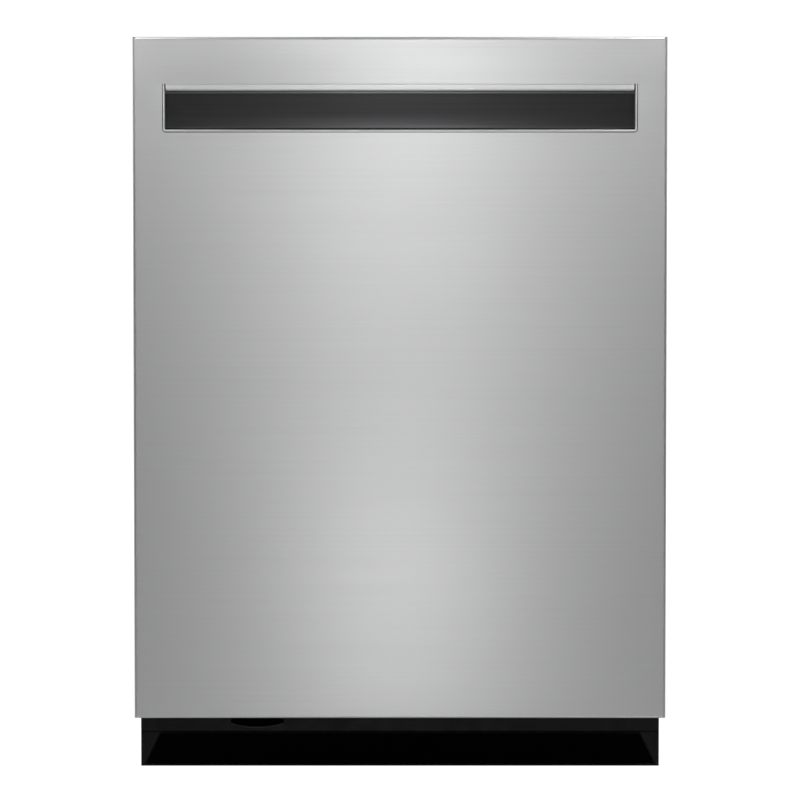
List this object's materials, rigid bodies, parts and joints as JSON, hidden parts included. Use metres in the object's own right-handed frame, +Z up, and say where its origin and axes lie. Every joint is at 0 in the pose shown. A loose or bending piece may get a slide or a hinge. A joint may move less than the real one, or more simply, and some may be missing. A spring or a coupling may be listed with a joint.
{
  "type": "built in dishwasher",
  "caption": "Under-counter dishwasher with a folded steel door, pocket handle, hidden controls, sliding racks and a recessed black toe kick.",
  "frame": {"origin": "on the floor under the middle of the appliance's outer box", "axes": "+Z up, the door faces -Y, +X to the right of someone facing the door"},
  "size_m": [0.606, 0.622, 0.853],
  "materials": {
    "panel_steel": "fine horizontal brushing",
    "tub_steel": "satin stainless",
    "zinc_steel": "zinc plated sheet",
    "spring_steel": "drawn wire",
    "screw_steel": "plated",
    "element_steel": "heat-tinted sheath",
    "rack_coating": "nylon coated wire",
    "kick_paint": "satin black",
    "pocket_plastic": "metallic dark grey",
    "black_plastic": "fine texture",
    "grey_plastic": "moulded",
    "white_plastic": "moulded",
    "leg_steel": "zinc plated, turned",
    "board": "solder mask",
    "lens": "smoked",
    "rubber": "matt",
    "felt": "needled felt"
  },
  "bodies": {
    "cabinet": {"tub": "tub_steel", "front_frame": "zinc_steel", "door_gasket": "rubber", "sound_blanket": "felt", "base_frame": "zinc_steel", "base_pan": "black_plastic", "sump": "grey_plastic", "circulation_pump": "black_plastic", "drain_pump": "grey_plastic", "inlet_valve": "white_plastic", "junction_box": "zinc_steel", "heating_element": "element_steel", "feed_tube": "grey_plastic", "fill_funnel": "white_plastic", "filter_screen": "tub_steel", "hinge_brackets": "zinc_steel", "access_panel": "kick_paint", "toe_panel": "kick_paint", "mounting_brackets": "zinc_steel", "fixed_rails": "tub_steel", "internal_hoses": "rubber", "balance_springs": "spring_steel"},
    "door": {"door_panel": "panel_steel", "handle_pocket": "pocket_plastic", "inner_liner": "tub_steel", "door_insulation": "felt", "console": "black_plastic", "control_board": "board", "status_lens": "lens", "latch_housing": "grey_plastic", "dispenser": "grey_plastic", "vent_grille": "grey_plastic", "hinge_arms": "zinc_steel", "door_screws": "screw_steel", "bottom_seal": "rubber"},
    "balance_rods": {"balance_rods": "zinc_steel"},
    "leg_front_left": {"leg_front_left": "leg_steel"},
    "leg_front_right": {"leg_front_right": "leg_steel"},
    "leg_rear_left": {"leg_rear_left": "leg_steel"},
    "leg_rear_right": {"leg_rear_right": "leg_steel"},
    "float": {"float_cap": "grey_plastic"},
    "filter": {"filter_cup": "grey_plastic"},
    "lower_spray_arm": {"lower_spray_arm": "grey_plastic"},
    "latch": {"latch_claw": "screw_steel"},
    "detergent_lid": {"detergent_lid": "grey_plastic"},
    "rinse_cap": {"rinse_cap": "grey_plastic"},
    "button_power": {"button_power": "black_plastic"},
    "button_cycle": {"button_cycle": "black_plastic"},
    "button_options": {"button_options": "black_plastic"},
    "button_delay": {"button_delay": "black_plastic"},
    "button_start": {"button_start": "black_plastic"},
    "lower_rack": {"lower_rack": "rack_coating"},
    "folding_tines": {"lower_tines": "rack_coating"},
    "silverware_basket": {"silverware_basket": "grey_plastic"},
    "front_wheels": {"front_wheels": "grey_plastic"},
    "rear_wheels": {"rear_wheels": "grey_plastic"},
    "upper_rack": {"upper_rack": "rack_coating"},
    "cup_shelf": {"cup_shelf": "rack_coating"},
    "mid_rails": {"mid_rails": "tub_steel"},
    "upper_spray_arm": {"upper_spray_arm": "grey_plastic"}
  },
  "joints": [
    {"name": "door_hinge", "type": "hinge", "parent": "cabinet", "child": "door", "pos_m": [0, -0.266, 0.118], "axis": [1, 0, 0], "range_deg": [0, 90], "stiffness_Nm_per_rad": 20, "springref_deg": -8.59},
    {"name": "balance_rod_slide", "type": "slide", "parent": "cabinet", "child": "balance_rods", "axis": [0, -1, 0], "range_m": [0, 0.0566], "deforming": ["balance_springs"]},
    {"name": "lower_rack_slide", "type": "slide", "parent": "cabinet", "child": "lower_rack", "axis": [0, -1, 0], "range_m": [0, 0.1201]},
    {"name": "front_wheel_spin", "type": "hinge", "parent": "lower_rack", "child": "front_wheels", "pos_m": [0, -0.166, 0.1525], "axis": [1, 0, 0], "range_deg": [0, 345]},
    {"name": "rear_wheel_spin", "type": "hinge", "parent": "lower_rack", "child": "rear_wheels", "pos_m": [0, 0.16, 0.1525], "axis": [1, 0, 0], "range_deg": [0, 345]},
    {"name": "folding_tines_hinge", "type": "hinge", "parent": "lower_rack", "child": "folding_tines", "pos_m": [0, 0.10923, 0.209], "axis": [-1, 0, 0], "range_deg": [0, 78]},
    {"name": "silverware_basket_lift", "type": "slide", "parent": "lower_rack", "child": "silverware_basket", "axis": [0, 0, 1], "range_m": [0, 0.06]},
    {"name": "mid_rail_slide", "type": "slide", "parent": "cabinet", "child": "mid_rails", "axis": [0, -1, 0], "range_m": [0, 0.225]},
    {"name": "upper_rack_slide", "type": "slide", "parent": "cabinet", "child": "upper_rack", "axis": [0, -1, 0], "range_m": [0, 0.4493]},
    {"name": "cup_shelf_hinge", "type": "hinge", "parent": "upper_rack", "child": "cup_shelf", "pos_m": [-0.238, 0, 0.582], "axis": [0, -1, 0], "range_deg": [0, 80]},
    {"name": "upper_spray_arm_spin", "type": "hinge", "parent": "upper_rack", "child": "upper_spray_arm", "pos_m": [0, 0.01, 0.468], "axis": [0, 0, 1], "continuous": true},
    {"name": "lower_spray_arm_spin", "type": "hinge", "parent": "cabinet", "child": "lower_spray_arm", "pos_m": [0, 0.01, 0.174], "axis": [0, 0, 1], "continuous": true},
    {"name": "filter_twist", "type": "hinge", "parent": "cabinet", "child": "filter", "pos_m": [0.045, -0.015, 0.1], "axis": [0, 0, 1], "range_deg": [0, 60]},
    {"name": "float_lift", "type": "slide", "parent": "cabinet", "child": "float", "axis": [0, 0, 1], "range_m": [0, 0.01]},
    {"name": "latch_pivot", "type": "hinge", "parent": "door", "child": "latch", "pos_m": [0, -0.27, 0.823], "axis": [1, 0, 0], "range_deg": [0, 8.5], "stiffness_Nm_per_rad": 0.05},
    {"name": "detergent_lid_slide", "type": "slide", "parent": "door", "child": "detergent_lid", "axis": [-1, 0, 0], "range_m": [0, 0.07]},
    {"name": "rinse_cap_twist", "type": "hinge", "parent": "door", "child": "rinse_cap", "pos_m": [0.082, -0.255, 0.422], "axis": [0, 1, 0], "range_deg": [0, 90]},
    {"name": "button_power_press", "type": "slide", "parent": "door", "child": "button_power", "axis": [0, 0, -1], "range_m": [0, 0.0012], "stiffness_N_per_m": 400},
    {"name": "button_cycle_press", "type": "slide", "parent": "door", "child": "button_cycle", "axis": [0, 0, -1], "range_m": [0, 0.0012], "stiffness_N_per_m": 400},
    {"name": "button_options_press", "type": "slide", "parent": "door", "child": "button_options", "axis": [0, 0, -1], "range_m": [0, 0.0012], "stiffness_N_per_m": 400},
    {"name": "button_delay_press", "type": "slide", "parent": "door", "child": "button_delay", "axis": [0, 0, -1], "range_m": [0, 0.0012], "stiffness_N_per_m": 400},
    {"name": "button_start_press", "type": "slide", "parent": "door", "child": "button_start", "axis": [0, 0, -1], "range_m": [0, 0.0012], "stiffness_N_per_m": 400},
    {"name": "leg_front_left_height", "type": "slide", "parent": "cabinet", "child": "leg_front_left", "axis": [0, 0, -1], "range_m": [0, 0.03]},
    {"name": "leg_front_right_height", "type": "slide", "parent": "cabinet", "child": "leg_front_right", "axis": [0, 0, -1], "range_m": [0, 0.03]},
    {"name": "leg_rear_left_height", "type": "slide", "parent": "cabinet", "child": "leg_rear_left", "axis": [0, 0, -1], "range_m": [0, 0.03]},
    {"name": "leg_rear_right_height", "type": "slide", "parent": "cabinet", "child": "leg_rear_right", "axis": [0, 0, -1], "range_m": [0, 0.03]}
  ],
  "couplings": [
    {"joint": "balance_rod_slide", "follows": "door_hinge", "m_per_rad": 0.036},
    {"joint": "lower_rack_slide", "follows": "door_hinge", "m_per_rad": 0.0764},
    {"joint": "front_wheel_spin", "follows": "door_hinge", "ratio": 3.82},
    {"joint": "rear_wheel_spin", "follows": "door_hinge", "ratio": 3.82},
    {"joint": "upper_rack_slide", "follows": "door_hinge", "m_per_rad": 0.286},
    {"joint": "mid_rail_slide", "follows": "door_hinge", "m_per_rad": 0.143}
  ]
}
